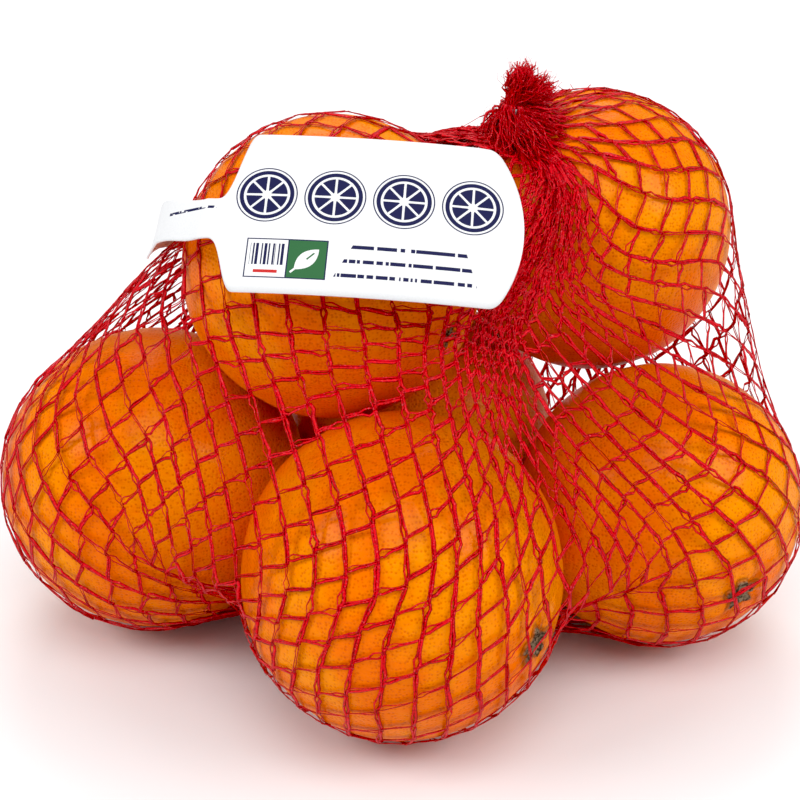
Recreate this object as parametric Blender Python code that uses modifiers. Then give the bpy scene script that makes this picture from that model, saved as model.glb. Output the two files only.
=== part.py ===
"""Net of oranges: six oranges held in a clipped tube of netting, with a paper tag.

Metres, +Z up. The pack lies on the ground plane z = 0: four oranges stand on the
ground, two rest on them, and the netting is pulled tight round all six. -Y is the
front, where the tag is read.
"""

import math

import bmesh
import bpy
import numpy as np
from mathutils import Vector
from mathutils.bvhtree import BVHTree

# --- Driving dimensions ------------------------------------------------------------

# Oranges: radius of the rind. The front, left, right and back oranges stand on the
# ground; the two top ones rest in the hollows between them.
FRONT_RADIUS = 0.0415
LEFT_RADIUS = 0.0420
RIGHT_RADIUS = 0.0388
BACK_RADIUS = 0.0393
TOP_LEFT_RADIUS = 0.0395
TOP_RIGHT_RADIUS = 0.0393

FRUIT_GAP = 0.0006          # between two oranges that lean on each other
FRONT_BACK_GAP = 0.0019     # the front and back oranges don't quite meet
BACK_OFFSET_X = 0.0051      # the back orange stands this far right of the front one
STRAND_LIFT = 0.0004        # the ground oranges stand on squashed strands

# Pack: moved so that its bounding box is centred on x = y = 0.
PACK_SHIFT = Vector((0.0007, -0.0402, 0.0))

# Netting: its outer skin over the rinds, and how far it sags between oranges.
SKIN_STAND_OFF = 0.0014
WRAP_SUBDIVISIONS = 5
WRAP_SETTLE_STEPS = 40
WRAP_SETTLE_RATE = 0.5
SUPPORT_DIRECTIONS = 2400

# Top tie: the netting is gathered into a neck over the top right orange's shoulder.
NECK_BASE = Vector((0.0288, 0.0690, 0.1395))
NECK_LEAN = Vector((0.10, 0.02, 1.0)).normalized()
NECK_RADIUS = 0.0024
NECK_LENGTH = 0.0040        # the straight part that the band holds
NECK_SHOULDER = 0.0052      # radius of the gathered cone's flat end, under the band
TOP_TUFT_SIZE = (0.0150, 0.0165, 0.0100)      # length, width, depth

# Bottom tie: pushed up into the hollow between the front, left and back oranges.
FOOT_RISE = 0.0130          # height of the cone of netting over the bottom tie
FOOT_CAP = 0.0110           # that cone's flat end
FOOT_HOLLOW_RADIUS = 0.0380
FOOT_TUFT_SIZE = (0.0102, 0.0150, 0.0130)

# Tufts are fluted fans.
TUFT_SEGMENTS = 32
TUFT_FLUTES = 8
TUFT_FLUTE_DEPTH = 0.10
TUFT_FLARE_STEPS = 7

# Bands: a strip of metal crimped round each neck.
BAND_HEIGHT = 0.0030
BAND_WALL = 0.0005
FIT_GAP = 0.0003            # between pieces that touch

# Tag: a card panel that lies against the top left orange, with a rounded nose at its
# right end and a long strap at its left end. The strap goes round the back of the
# pack and under it, to the bottom tie.
TAG_THICKNESS = 0.0006
TAG_OFFSET = Vector((0.0098, -0.0336, 0.0266))    # panel's middle from that orange's
TAG_TILT = math.radians(50.7)       # how far the panel faces up
TAG_ROLL = math.radians(-4.3)       # its right end is lower
TAG_BEND_RADIUS = 0.330
TAG_PANEL_RIGHT = 0.0367            # the nose's tip, from the panel's middle
TAG_PANEL_LEFT = -0.0384            # where the panel has narrowed to the strap
TAG_PANEL_HALF_HEIGHT = 0.0212
TAG_NOSE_RADIUS = 0.037             # the nose is an arc between two rounded corners
TAG_NOSE_MIDDLE = -0.0015           # height of that arc's middle
TAG_NOSE_CORNER = 0.0030            # how softly the arc meets the long edges
TAG_NOSE_LENGTH = 0.0090
TAG_SHOULDER = 0.0088               # length of the slope between panel and strap
TAG_SHOULDER_STAGGER = 0.0020       # the upper shoulder is this much further right
STRAP_HALF_WIDTH = 0.00525
STRAP_MIDDLE = -0.00195             # the strap leaves the panel below its middle
STRAP_END_HALF_WIDTH = 0.0028       # gathered where the bottom tie holds it
STRAP_CLEARANCE = 0.0008            # from the netting to the middle of the strap
STRAP_STEPS = 6                     # stations in each stretch of its route
STRAP_FACING_PASSES = 12            # how far its twist is evened out
STRAP_FREE_STRETCHES = 3            # after the first, before it lies on the netting
STRAP_ROUTE = (
    Vector((-0.0587, 0.0252, 0.1270)),
    Vector((-0.0640, 0.0410, 0.1170)),
    Vector((-0.0617, 0.0694, 0.1092)),
    Vector((-0.0517, 0.0817, 0.0990)),
    Vector((-0.0427, 0.0982, 0.0680)),
    Vector((-0.0407, 0.1067, 0.0420)),
    Vector((-0.0387, 0.1012, 0.0170)),
    Vector((-0.0342, 0.0832, 0.0035)),
    Vector((-0.0297, 0.0672, 0.0025)),
    Vector((-0.0263, 0.0534, 0.0065)),
)

PART_NAME = "net_of_oranges"


# --- Arrangement of the oranges ------------------------------------------------------

def ground_height(radius):
    """Height of the middle of an orange that stands on the ground."""
    return radius + STRAND_LIFT


def beside(first, second, radius, side):
    """Centre of a ground orange that leans on two others, left (-1) or right (+1)."""
    (first_centre, first_radius), (second_centre, second_radius) = first, second
    height = ground_height(radius)
    reach_first = math.sqrt((first_radius + radius + FRUIT_GAP) ** 2
                            - (first_centre.z - height) ** 2)
    reach_second = math.sqrt((second_radius + radius + FRUIT_GAP) ** 2
                             - (second_centre.z - height) ** 2)
    line = (second_centre - first_centre).to_2d()
    span = line.length
    line.normalize()
    along = (reach_first ** 2 - reach_second ** 2 + span ** 2) / (2 * span)
    off = math.sqrt(reach_first ** 2 - along ** 2) * side
    spot = first_centre.to_2d() + line * along + Vector((line.y, -line.x)) * off
    return Vector((spot.x, spot.y, height))


def resting_on(first, second, third, radius):
    """Centre of an orange that rests on three others, on their upper side."""
    (a, a_radius), (b, b_radius), (c, c_radius) = first, second, third
    to_a, to_b, to_c = (r + radius + FRUIT_GAP for r in (a_radius, b_radius, c_radius))
    across = (b - a).normalized()
    skew = across.dot(c - a)
    over = (c - a - skew * across).normalized()
    span, depth = (b - a).length, over.dot(c - a)
    x = (to_a ** 2 - to_b ** 2 + span ** 2) / (2 * span)
    y = (to_a ** 2 - to_c ** 2 + skew ** 2 + depth ** 2) / (2 * depth) - skew / depth * x
    up = math.sqrt(to_a ** 2 - x ** 2 - y ** 2)
    normal = across.cross(over)
    middle = a + x * across + y * over
    return max((middle + up * normal, middle - up * normal), key=lambda spot: spot.z)


def arrange_oranges():
    """Name -> (centre, radius) of the six oranges."""
    oranges = {"front": (Vector((0.0, 0.0, ground_height(FRONT_RADIUS))), FRONT_RADIUS)}
    reach = FRONT_RADIUS + BACK_RADIUS + FRONT_BACK_GAP
    drop = ground_height(FRONT_RADIUS) - ground_height(BACK_RADIUS)
    back_y = math.sqrt(reach ** 2 - drop ** 2 - BACK_OFFSET_X ** 2)
    oranges["back"] = (Vector((BACK_OFFSET_X, back_y, ground_height(BACK_RADIUS))),
                       BACK_RADIUS)
    for name, radius, side in (("left", LEFT_RADIUS, -1), ("right", RIGHT_RADIUS, 1)):
        centre = beside(oranges["front"], oranges["back"], radius, side)
        oranges[name] = (centre, radius)
    for name, radius, props in (
            ("top_left", TOP_LEFT_RADIUS, ("front", "left", "back")),
            ("top_right", TOP_RIGHT_RADIUS, ("right", "back", "top_left"))):
        centre = resting_on(*(oranges[prop] for prop in props), radius)
        oranges[name] = (centre, radius)
    return {name: (centre + PACK_SHIFT, radius)
            for name, (centre, radius) in oranges.items()}


# --- Helpers -------------------------------------------------------------------------

def clear_scene():
    for item in list(bpy.data.objects):
        bpy.data.objects.remove(item, do_unlink=True)


def make_material(name, colour, roughness, metallic=0.0):
    material = bpy.data.materials.new(name)
    material.use_nodes = True
    shader = material.node_tree.nodes["Principled BSDF"]
    shader.inputs["Base Color"].default_value = (*colour, 1.0)
    shader.inputs["Roughness"].default_value = roughness
    shader.inputs["Metallic"].default_value = metallic
    return material


def add_object(name, mesh, collection, parent, material):
    item = bpy.data.objects.new(name, mesh)
    item.parent = parent
    mesh.materials.append(material)
    collection.objects.link(item)
    return item


def adopt_active(name, collection, parent, material):
    """Name the primitive just added, and move it to the part's collection."""
    item = bpy.context.object
    item.name = item.data.name = name
    for holder in list(item.users_collection):
        holder.objects.unlink(item)
    collection.objects.link(item)
    item.parent = parent
    item.data.materials.append(material)
    return item


def mesh_from_rings(name, rings):
    """Closed loft through rings of points, listed along its axis, with flat ends."""
    form = bmesh.new()
    loops = [[form.verts.new(point) for point in ring] for ring in rings]
    count = len(loops[0])
    for lower, upper in zip(loops, loops[1:]):
        for step in range(count):
            after = (step + 1) % count
            form.faces.new((lower[step], lower[after], upper[after], upper[step]))
    form.faces.new(list(reversed(loops[0])))
    form.faces.new(loops[-1])
    bmesh.ops.recalc_face_normals(form, faces=form.faces)
    mesh = bpy.data.meshes.new(name)
    form.to_mesh(mesh)
    form.free()
    mesh.shade_smooth()
    mesh.set_sharp_from_angle(angle=math.radians(40))
    return mesh


def upright_frame(axis):
    """Two directions square to an axis: one to the right, one to the back."""
    right = (Vector((1, 0, 0)) - axis * axis.x).normalized()
    return right, axis.cross(right)


# --- Bag: netting pulled round the oranges ------------------------------------------------

def sphere_directions(count):
    """Evenly spread unit directions, on a golden-angle spiral."""
    step = np.arange(count) + 0.5
    height = 1 - 2 * step / count
    turn = math.pi * (1 + math.sqrt(5)) * step
    ring = np.sqrt(1 - height ** 2)
    return np.stack([ring * np.cos(turn), ring * np.sin(turn), height], axis=1)


def tight_hull(directions, middle, centres, radii):
    """Points on the convex hull of the balls, seen from the middle in each direction."""
    facings = sphere_directions(SUPPORT_DIRECTIONS)
    support = ((centres - middle) @ facings.T + radii[:, None]).max(axis=0)
    slope = directions @ facings.T
    reach = np.where(slope > 0.05, support / np.maximum(slope, 0.05), np.inf)
    return middle + directions * reach.min(axis=1)[:, None]


def neighbour_means(edges, count):
    """A function that gives, for each vertex, the mean of its neighbours."""
    ends = np.concatenate([edges, edges[:, ::-1]])
    degree = np.bincount(ends[:, 0], minlength=count)[:, None]

    def mean(points):
        total = np.zeros_like(points)
        np.add.at(total, ends[:, 0], points[ends[:, 1]])
        return total / degree

    return mean


def keep_outside(points, centres, radii):
    """Push points that are inside a ball out to its surface."""
    for centre, radius in zip(centres, radii):
        offset = points - centre
        distance = np.linalg.norm(offset, axis=1)
        inside = distance < radius
        points[inside] = centre + offset[inside] * (radius / distance[inside])[:, None]


def keep_above_ground(points, foot):
    """Lay points on the ground, or on the shallow cone over the bottom tie."""
    away = np.linalg.norm(points[:, :2] - foot[:2], axis=1)
    floor = np.clip(FOOT_RISE * (1 - away / FOOT_HOLLOW_RADIUS), 0.0, FOOT_CAP)
    points[:, 2] = np.maximum(points[:, 2], floor)


def keep_under_neck(points, neck):
    """Flatten the gathered cone where the top band closes it."""
    axis = np.array(NECK_LEAN)
    offset = points - neck
    height = offset @ axis
    away = np.linalg.norm(offset - height[:, None] * axis, axis=1)
    over = (height > 0) & (away < 1.7 * NECK_SHOULDER)
    points[over] -= height[over][:, None] * axis


def build_bag(oranges, neck, foot, material, collection, parent):
    """One closed, lumpy solid: netting shrunk on to the oranges from their hull."""
    bpy.ops.mesh.primitive_ico_sphere_add(subdivisions=WRAP_SUBDIVISIONS, radius=1.0)
    bag = adopt_active("filled_net", collection, parent, material)

    count = len(bag.data.vertices)
    directions = np.empty(count * 3)
    bag.data.vertices.foreach_get("co", directions)
    directions = directions.reshape(count, 3)
    directions /= np.linalg.norm(directions, axis=1)[:, None]
    edges = np.array([edge.vertices[:] for edge in bag.data.edges])

    centres = np.array([centre for centre, _ in oranges.values()] + [neck])
    radii = np.array([radius + SKIN_STAND_OFF for _, radius in oranges.values()]
                     + [NECK_SHOULDER])
    middle = centres[:-1].mean(axis=0)
    points = tight_hull(directions, middle, centres, radii)
    mean = neighbour_means(edges, count)
    for _ in range(WRAP_SETTLE_STEPS):
        points += WRAP_SETTLE_RATE * (mean(points) - points)
        keep_outside(points, centres, radii)
        keep_above_ground(points, np.array(foot))
        keep_under_neck(points, np.array(neck))
    bag.data.vertices.foreach_set("co", points.ravel())
    bag.data.update()
    bag.data.shade_smooth()
    return bag


# --- Ties: neck, metal band and frayed tuft ----------------------------------------------

def tuft_profile(length, width, depth):
    """(height, half width, half depth) from the neck's foot to the frayed end."""
    yield 0.0, NECK_RADIUS, NECK_RADIUS
    for step in range(TUFT_FLARE_STEPS + 1):
        share = step / TUFT_FLARE_STEPS
        flare = share ** 0.8
        yield (NECK_LENGTH + share * (length - NECK_LENGTH),
               NECK_RADIUS + (width / 2 - NECK_RADIUS) * flare,
               NECK_RADIUS + (depth / 2 - NECK_RADIUS) * flare)


def build_tuft(name, base, axis, size, material, collection, parent):
    """Gathered netting beyond a band: a round neck that flares into a fluted fan."""
    right, back = upright_frame(axis)
    rings = []
    for height, half_width, half_depth in tuft_profile(*size):
        flare = max(0.0, (height - NECK_LENGTH) / (size[0] - NECK_LENGTH))
        ring = []
        for segment in range(TUFT_SEGMENTS):
            turn = 2 * math.pi * segment / TUFT_SEGMENTS
            swell = 1 + TUFT_FLUTE_DEPTH * flare * math.cos(TUFT_FLUTES * turn)
            ring.append(base + axis * height
                        + right * (half_width * swell * math.cos(turn))
                        + back * (half_depth * swell * math.sin(turn)))
        rings.append(ring)
    mesh = mesh_from_rings(name, rings)
    return add_object(name, mesh, collection, parent, material)


def build_band(name, base, axis, material, collection, parent):
    """Metal band round a neck: an open cylinder with a wall and rounded edges."""
    outer = NECK_RADIUS + FIT_GAP + BAND_WALL
    bpy.ops.mesh.primitive_cylinder_add(vertices=32, radius=outer, depth=BAND_HEIGHT,
                                        end_fill_type="NOTHING")
    band = adopt_active(name, collection, parent, material)
    band.location = base + axis * (FIT_GAP + BAND_HEIGHT / 2)
    band.rotation_euler = axis.to_track_quat("Z", "Y").to_euler()
    wall = band.modifiers.new("wall", "SOLIDIFY")
    wall.thickness = BAND_WALL
    wall.offset = -1
    edge = band.modifiers.new("rounded_edges", "BEVEL")
    edge.width = BAND_WALL * 0.3
    edge.segments = 2
    edge.angle_limit = math.radians(50)
    return band


# --- Tag: card panel and strap ----------------------------------------------------------------

def ease(share):
    """0 to 1 with slow ends, which make a shoulder's rounded corners."""
    share = min(1.0, max(0.0, share))
    return share ** 3 * (share * (share * 6 - 15) + 10)


def soft_min(a, b, blend):
    """The smaller of two lengths, with the corner between them rounded off."""
    mix = max(blend - abs(a - b), 0.0) / blend
    return min(a, b) - mix * mix * blend / 4


def panel_edges(along):
    """(top, foot) of the panel's outline, at a distance along it from its middle."""
    inset = TAG_PANEL_RIGHT - along
    nose = math.sqrt(max(0.0, (2 * TAG_NOSE_RADIUS - inset) * inset))
    edges = []
    for side, shoulder_end in ((1, TAG_PANEL_LEFT + TAG_SHOULDER_STAGGER),
                               (-1, TAG_PANEL_LEFT)):
        strap = STRAP_HALF_WIDTH + side * STRAP_MIDDLE
        wide = soft_min(nose + side * TAG_NOSE_MIDDLE, TAG_PANEL_HALF_HEIGHT,
                        TAG_NOSE_CORNER)
        full = ease((along - shoulder_end) / TAG_SHOULDER)
        edges.append(side * (strap + (wide - strap) * full))
    return edges


def panel_alongs():
    """Distances of the panel's stations: close together at the nose and the shoulder."""
    nose_steps, level_steps, shoulder_steps = 8, 8, 9
    nose_end = TAG_PANEL_RIGHT - TAG_NOSE_LENGTH
    shoulder_start = TAG_PANEL_LEFT + TAG_SHOULDER + TAG_SHOULDER_STAGGER
    nose = [TAG_PANEL_RIGHT - TAG_NOSE_LENGTH * (step / nose_steps) ** 2
            for step in range(1, nose_steps)]
    level = np.linspace(nose_end, shoulder_start, level_steps + 1)
    shoulder = np.linspace(shoulder_start, TAG_PANEL_LEFT, shoulder_steps + 1)[1:]
    return [*nose, *level.tolist(), *shoulder.tolist()]


def panel_stations(middle):
    """Stations (point, outward, up, top, foot) along the panel, from its nose."""
    outward = Vector((0.0, -math.cos(TAG_TILT), math.sin(TAG_TILT)))
    level = Vector((1.0, 0.0, 0.0))
    upward = outward.cross(level)
    right = level * math.cos(TAG_ROLL) + upward * math.sin(TAG_ROLL)
    up = outward.cross(right)
    stations = []
    for along in panel_alongs():
        turn = along / TAG_BEND_RADIUS
        point = (middle + right * (TAG_BEND_RADIUS * math.sin(turn))
                 + outward * (TAG_BEND_RADIUS * (math.cos(turn) - 1)))
        facing = outward * math.cos(turn) + right * math.sin(turn)
        stations.append((point, facing, up, *panel_edges(along)))
    return stations


def smooth_route(points, steps):
    """Catmull-Rom curve through points, with the given steps in each stretch."""
    ends = [points[0] * 2 - points[1], *points, points[-1] * 2 - points[-2]]
    curve = []
    for before, first, second, after in zip(ends, ends[1:], ends[2:], ends[3:]):
        for step in range(steps):
            t = step / steps
            curve.append(0.5 * (2 * first + (second - before) * t
                                + (2 * before - 5 * first + 4 * second - after) * t ** 2
                                + (3 * first - before - 3 * second + after) * t ** 3))
    return curve + [points[-1]]


def height_over(tree, point):
    """How far a point stands outside the bag's surface."""
    surface, normal, *_ = tree.find_nearest(point)
    return (point - surface).dot(normal)


def strap_stations(start, bag):
    """Stations of the strap, which leaves the panel and lies against the netting."""
    tree = BVHTree.FromPolygons([vertex.co for vertex in bag.data.vertices],
                                [face.vertices for face in bag.data.polygons])
    point, facing = start[:2]
    route = smooth_route([point, *(spot + PACK_SHIFT for spot in STRAP_ROUTE)],
                         STRAP_STEPS)
    facings = [facing]
    for index in range(1, len(route)):
        surface, normal, *_ = tree.find_nearest(route[index])
        stretches = index / STRAP_STEPS
        landed = min(1.0, max(0.0, (stretches - 1) / STRAP_FREE_STRETCHES))
        route[index] = route[index].lerp(surface + normal * STRAP_CLEARANCE, landed)
        facings.append(facing.lerp(normal, min(1.0, stretches)).normalized())
    for _ in range(STRAP_FACING_PASSES):
        facings = [facings[0], *(sum(facings[i - 1:i + 2], Vector()).normalized()
                                 for i in range(1, len(facings) - 1)), facings[-1]]
    stations = []
    last = len(route) - 1
    for index in range(1, last + 1):
        ahead = route[min(index + 1, last)] - route[index - 1]
        up = ahead.cross(facings[index]).normalized()
        gather = ease(4 * index / last - 3)
        half = STRAP_HALF_WIDTH + (STRAP_END_HALF_WIDTH - STRAP_HALF_WIDTH) * gather
        middle = STRAP_MIDDLE * (1 - ease(index / STRAP_STEPS))
        lowest = min(height_over(tree, route[index] + up * (middle + part))
                     for part in (-half, 0.0, half))
        lift = max(0.0, STRAP_CLEARANCE - lowest)
        stations.append((route[index] + facings[index] * lift, facings[index], up,
                         middle + half, middle - half))
    return stations


def build_tag(oranges, bag, material, collection, parent):
    """One strip of card: an open ruled surface along its stations, given a thickness."""
    panel = panel_stations(oranges["top_left"][0] + TAG_OFFSET)
    stations = panel + strap_stations(panel[-1], bag)
    form = bmesh.new()
    rows = []
    for point, _, up, top, foot in stations:
        middle = (top + foot) / 2
        rows.append([form.verts.new(point + up * height) for height in (top, middle, foot)])
    for near, far in zip(rows, rows[1:]):
        for column in range(2):
            form.faces.new((near[column], far[column], far[column + 1], near[column + 1]))
    mesh = bpy.data.meshes.new("tag")
    form.to_mesh(mesh)
    form.free()
    tag = add_object("tag", mesh, collection, parent, material)
    card = tag.modifiers.new("card", "SOLIDIFY")
    card.thickness = TAG_THICKNESS
    card.offset = 0
    return tag


# --- Build --------------------------------------------------------------------------------

def build():
    clear_scene()
    collection = bpy.data.collections.new(PART_NAME)
    bpy.context.scene.collection.children.link(collection)
    root = bpy.data.objects.new("pack", None)
    collection.objects.link(root)
    place = (collection, root)

    netting = make_material("red_netting", (0.55, 0.01, 0.03), 0.35)
    metal = make_material("band_metal", (0.75, 0.76, 0.78), 0.3, 1.0)
    card = make_material("white_card", (0.90, 0.90, 0.90), 0.5)

    oranges = arrange_oranges()
    neck = NECK_BASE + PACK_SHIFT
    hollow = ("front", "left", "back")
    foot = sum((oranges[name][0] for name in hollow), Vector()) / len(hollow)
    bag = build_bag(oranges, neck, foot, netting, *place)

    above_neck = neck + NECK_LEAN * FIT_GAP
    build_tuft("top_tuft", above_neck, NECK_LEAN, TOP_TUFT_SIZE, netting, *place)
    build_band("top_band", above_neck, NECK_LEAN, metal, *place)

    down = Vector((0.0, 0.0, -1.0))
    under_foot = Vector((foot.x, foot.y, FOOT_CAP - FIT_GAP))
    build_tuft("bottom_tuft", under_foot, down, FOOT_TUFT_SIZE, netting, *place)
    build_band("bottom_band", under_foot, down, metal, *place)

    build_tag(oranges, bag, card, *place)


build()
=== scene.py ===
# %% [markdown]
# # A net of oranges
# Six oranges lie in a tube of red knitted netting. The tube is gathered and clipped with a
# metal band at each end, and a white card tag is held against the upper left orange. The
# packed model gives the outer shape, the bands and the tag's place. Everything here is
# worked out from it, in metres, with +Z up and the tag's side facing -Y.

import math

import bmesh
import bpy
import numpy as np
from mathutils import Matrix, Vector
from mathutils.bvhtree import BVHTree


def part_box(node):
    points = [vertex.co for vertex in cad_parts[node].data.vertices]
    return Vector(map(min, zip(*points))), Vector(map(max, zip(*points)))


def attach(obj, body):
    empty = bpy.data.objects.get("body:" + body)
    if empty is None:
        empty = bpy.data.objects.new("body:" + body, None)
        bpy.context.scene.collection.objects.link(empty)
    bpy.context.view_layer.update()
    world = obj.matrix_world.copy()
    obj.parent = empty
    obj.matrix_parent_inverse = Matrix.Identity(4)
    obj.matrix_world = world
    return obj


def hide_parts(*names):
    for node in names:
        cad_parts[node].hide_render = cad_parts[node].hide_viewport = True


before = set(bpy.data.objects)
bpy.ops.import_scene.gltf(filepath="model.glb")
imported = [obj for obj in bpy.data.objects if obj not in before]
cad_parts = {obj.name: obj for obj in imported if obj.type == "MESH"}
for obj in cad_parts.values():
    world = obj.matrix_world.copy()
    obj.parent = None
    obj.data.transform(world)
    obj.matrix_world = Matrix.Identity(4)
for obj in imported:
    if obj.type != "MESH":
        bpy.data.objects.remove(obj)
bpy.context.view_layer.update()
MM = 0.001
FULL_TURN = 2 * math.pi
print("packed nodes:", sorted(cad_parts))

# %% [markdown]
# ## Where the oranges lie
# Four oranges stand on the ground and lean on each other, and two more rest in the hollows
# on top. Their places follow from their sizes alone: a ground orange touches two others, and
# a top orange touches three. Solving those contacts keeps the heap honest, where places
# typed by hand would leave gaps or cut one orange into another. The heap is then slid so
# that its left and front sides meet the sides of the packed model.

# %% Stack the oranges by contact
SIZES = {"front": 41.5 * MM, "back": 39.3 * MM, "left": 42.0 * MM, "right": 38.8 * MM,
         "top_left": 39.5 * MM, "top_right": 39.3 * MM}
TOUCH_GAP = 0.6 * MM
FRONT_BACK_GAP = 1.9 * MM
BACK_OFFSET_X = 5.1 * MM
STRAND_LIFT = 0.4 * MM
SKIN_STAND_OFF = 1.4 * MM


def beside(first, second, name, side):
    """Centre of a ground orange that leans on two others, left (-1) or right (+1)."""
    radius, height = SIZES[name], SIZES[name] + STRAND_LIFT
    reach = [math.sqrt((SIZES[other] + radius + TOUCH_GAP) ** 2 - (place[other].z - height) ** 2)
             for other in (first, second)]
    line = (place[second] - place[first]).to_2d()
    span = line.length
    line.normalize()
    along = (reach[0] ** 2 - reach[1] ** 2 + span ** 2) / (2 * span)
    off = math.sqrt(reach[0] ** 2 - along ** 2) * side
    spot = place[first].to_2d() + line * along + Vector((line.y, -line.x)) * off
    return Vector((spot.x, spot.y, height))


def resting_on(first, second, third, name):
    """Centre of an orange that rests on three others, on their upper side."""
    a, b, c = place[first], place[second], place[third]
    to_a, to_b, to_c = (SIZES[o] + SIZES[name] + TOUCH_GAP for o in (first, second, third))
    across = (b - a).normalized()
    skew = across.dot(c - a)
    over = (c - a - skew * across).normalized()
    span, depth = (b - a).length, over.dot(c - a)
    x = (to_a ** 2 - to_b ** 2 + span ** 2) / (2 * span)
    y = (to_a ** 2 - to_c ** 2 + skew ** 2 + depth ** 2) / (2 * depth) - skew / depth * x
    up = math.sqrt(to_a ** 2 - x ** 2 - y ** 2) * across.cross(over)
    middle = a + x * across + y * over
    return max((middle + up, middle - up), key=lambda spot: spot.z)


place = {"front": Vector((0, 0, SIZES["front"] + STRAND_LIFT))}
back_height = SIZES["back"] + STRAND_LIFT
back_reach = SIZES["front"] + SIZES["back"] + FRONT_BACK_GAP
back_drop = place["front"].z - back_height
back_y = math.sqrt(back_reach ** 2 - back_drop ** 2 - BACK_OFFSET_X ** 2)
place["back"] = Vector((BACK_OFFSET_X, back_y, back_height))
place["left"] = beside("front", "back", "left", -1)
place["right"] = beside("front", "back", "right", 1)
place["top_left"] = resting_on("front", "left", "back", "top_left")
place["top_right"] = resting_on("right", "back", "top_left", "top_right")

net_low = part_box("filled_net")[0]
heap_shift = Vector((net_low.x + SKIN_STAND_OFF + SIZES["left"] - place["left"].x,
                     net_low.y + SKIN_STAND_OFF + SIZES["front"] - place["front"].y, 0))
for name in place:
    place[name] = place[name] + heap_shift
    print(f"{name}: centre {[round(part / MM, 1) for part in place[name]]} mm")

CENTRES = np.array([place[name] for name in SIZES])
RADII = np.array([SIZES[name] for name in SIZES])

# %% [markdown]
# ## The view
# The camera stands a little above the pack and looks down on it. A long lens from about
# forty centimetres keeps the oranges round while their sizes still fall off with distance.

# %% Camera
CAMERA_TILT = math.radians(27.42)
CAMERA_DISTANCE = 410.4 * MM
CAMERA_LENS = 68.9
look_at = Vector((0.2 * MM, 0, 70.9 * MM))

camera = bpy.data.objects.new("camera", bpy.data.cameras.new("camera"))
bpy.context.scene.collection.objects.link(camera)
camera.data.lens = CAMERA_LENS
camera.data.clip_start = 0.01
away = Vector((0, -math.cos(CAMERA_TILT), math.sin(CAMERA_TILT)))
camera.location = look_at + away * CAMERA_DISTANCE
camera.rotation_euler = (-away).to_track_quat("-Z", "Y").to_euler()
bpy.context.scene.camera = camera
print("camera at", [round(part / MM) for part in camera.location], "mm")

# %% [markdown]
# ## Shader sums that read as sums
# A procedural finish is arithmetic on patterns. Wiring each Math node by hand hides that
# arithmetic, so a small class wraps a socket and lets Python's operators add the nodes.
# Every other node comes from one method, which is given the node's type, its settings and
# the values of its sockets.

# %% A socket that can be added and multiplied
class Wire:
    """An output socket of a finish. Operators on it add Math nodes."""

    def __init__(self, finish, socket):
        self.finish, self.socket = finish, socket

    def math(self, operation, *values):
        return self.finish.node("Math", {"operation": operation}, dict(enumerate(values)))

    def __add__(self, other):
        return self.math("ADD", self, other)

    def __sub__(self, other):
        return self.math("SUBTRACT", self, other)

    def __rsub__(self, other):
        return self.math("SUBTRACT", other, self)

    def __mul__(self, other):
        return self.math("MULTIPLY", self, other)

    def __truediv__(self, other):
        return self.math("DIVIDE", self, other)

    def __pow__(self, other):
        return self.math("POWER", self, other)

    def __gt__(self, other):
        return self.math("GREATER_THAN", self, other)

    def __lt__(self, other):
        return self.math("LESS_THAN", self, other)

    def __abs__(self):
        return self.math("ABSOLUTE", self)

    __radd__, __rmul__ = __add__, __mul__


print("operators on a socket:", [name for name in vars(Wire) if name.startswith("__")])


# %% A finish: one material and its nodes
class Finish:
    """A material with a Principled shader, and one method that adds any node."""

    def __init__(self, name, **fixed):
        self.material = bpy.data.materials.new(name)
        self.material.use_nodes = True
        self.tree = self.material.node_tree
        self.shader = self.tree.nodes["Principled BSDF"]
        self.feed(**fixed)

    def node(self, kind, settings=None, sockets=None, out=0):
        made = self.tree.nodes.new("ShaderNode" + kind)
        for setting, value in (settings or {}).items():
            setattr(made, setting, value)
        for socket, value in (sockets or {}).items():
            self.join(made.inputs[socket], value)
        return Wire(self, made.outputs[out])

    def join(self, socket, value):
        """Link a socket, or set it. A colour of three numbers gets its fourth, 1."""
        if isinstance(value, Wire):
            self.tree.links.new(value.socket, socket)
        elif socket.type == "RGBA":
            socket.default_value = (*value, 1.0)
        else:
            socket.default_value = value

    def feed(self, **sockets):
        """Set or link the shader's own sockets, with _ for a space in a name."""
        for socket, value in sockets.items():
            self.join(self.shader.inputs[socket.replace("_", " ")], value)

    def wrap(self, value, pitch):
        """Repeat a distance every pitch, from minus half of it to plus half."""
        return self.node("Math", {"operation": "WRAP"}, {0: value, 1: pitch / 2, 2: -pitch / 2})

    def place(self):
        """Coordinates that stay with the piece, in metres from its own origin."""
        return self.node("TexCoord", out="Object")

    def marked(self, name):
        """A value that the mesh carries on its points."""
        return self.node("Attribute", {"attribute_name": name}, out="Fac")

    def cloud(self, where, size, detail=2.0, roughness=0.5):
        """Soft noise from 0 to 1 whose lumps are about this size."""
        return self.node("TexNoise", {}, {"Vector": where, "Scale": 1 / size,
                                          "Detail": detail, "Roughness": roughness})

    def step(self, value, low, high):
        """0 below low, 1 above high, eased in between."""
        return self.node("MapRange", {"interpolation_type": "SMOOTHSTEP"},
                         {"Value": value, "From Min": low, "From Max": high})

    def tint(self, share, first, second):
        """Colour that goes from first to second as share goes from 0 to 1."""
        return self.node("Mix", {"data_type": "RGBA"}, {0: share, 6: first, 7: second}, out=2)

    def relief(self, height, depth, strength=1.0, under=None):
        """Bump from a height of 0 to 1 that stands for a real depth in metres."""
        sockets = {"Height": height, "Distance": depth, "Strength": strength}
        if under is not None:
            sockets["Normal"] = under
        return self.node("Bump", {}, sockets)


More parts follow.
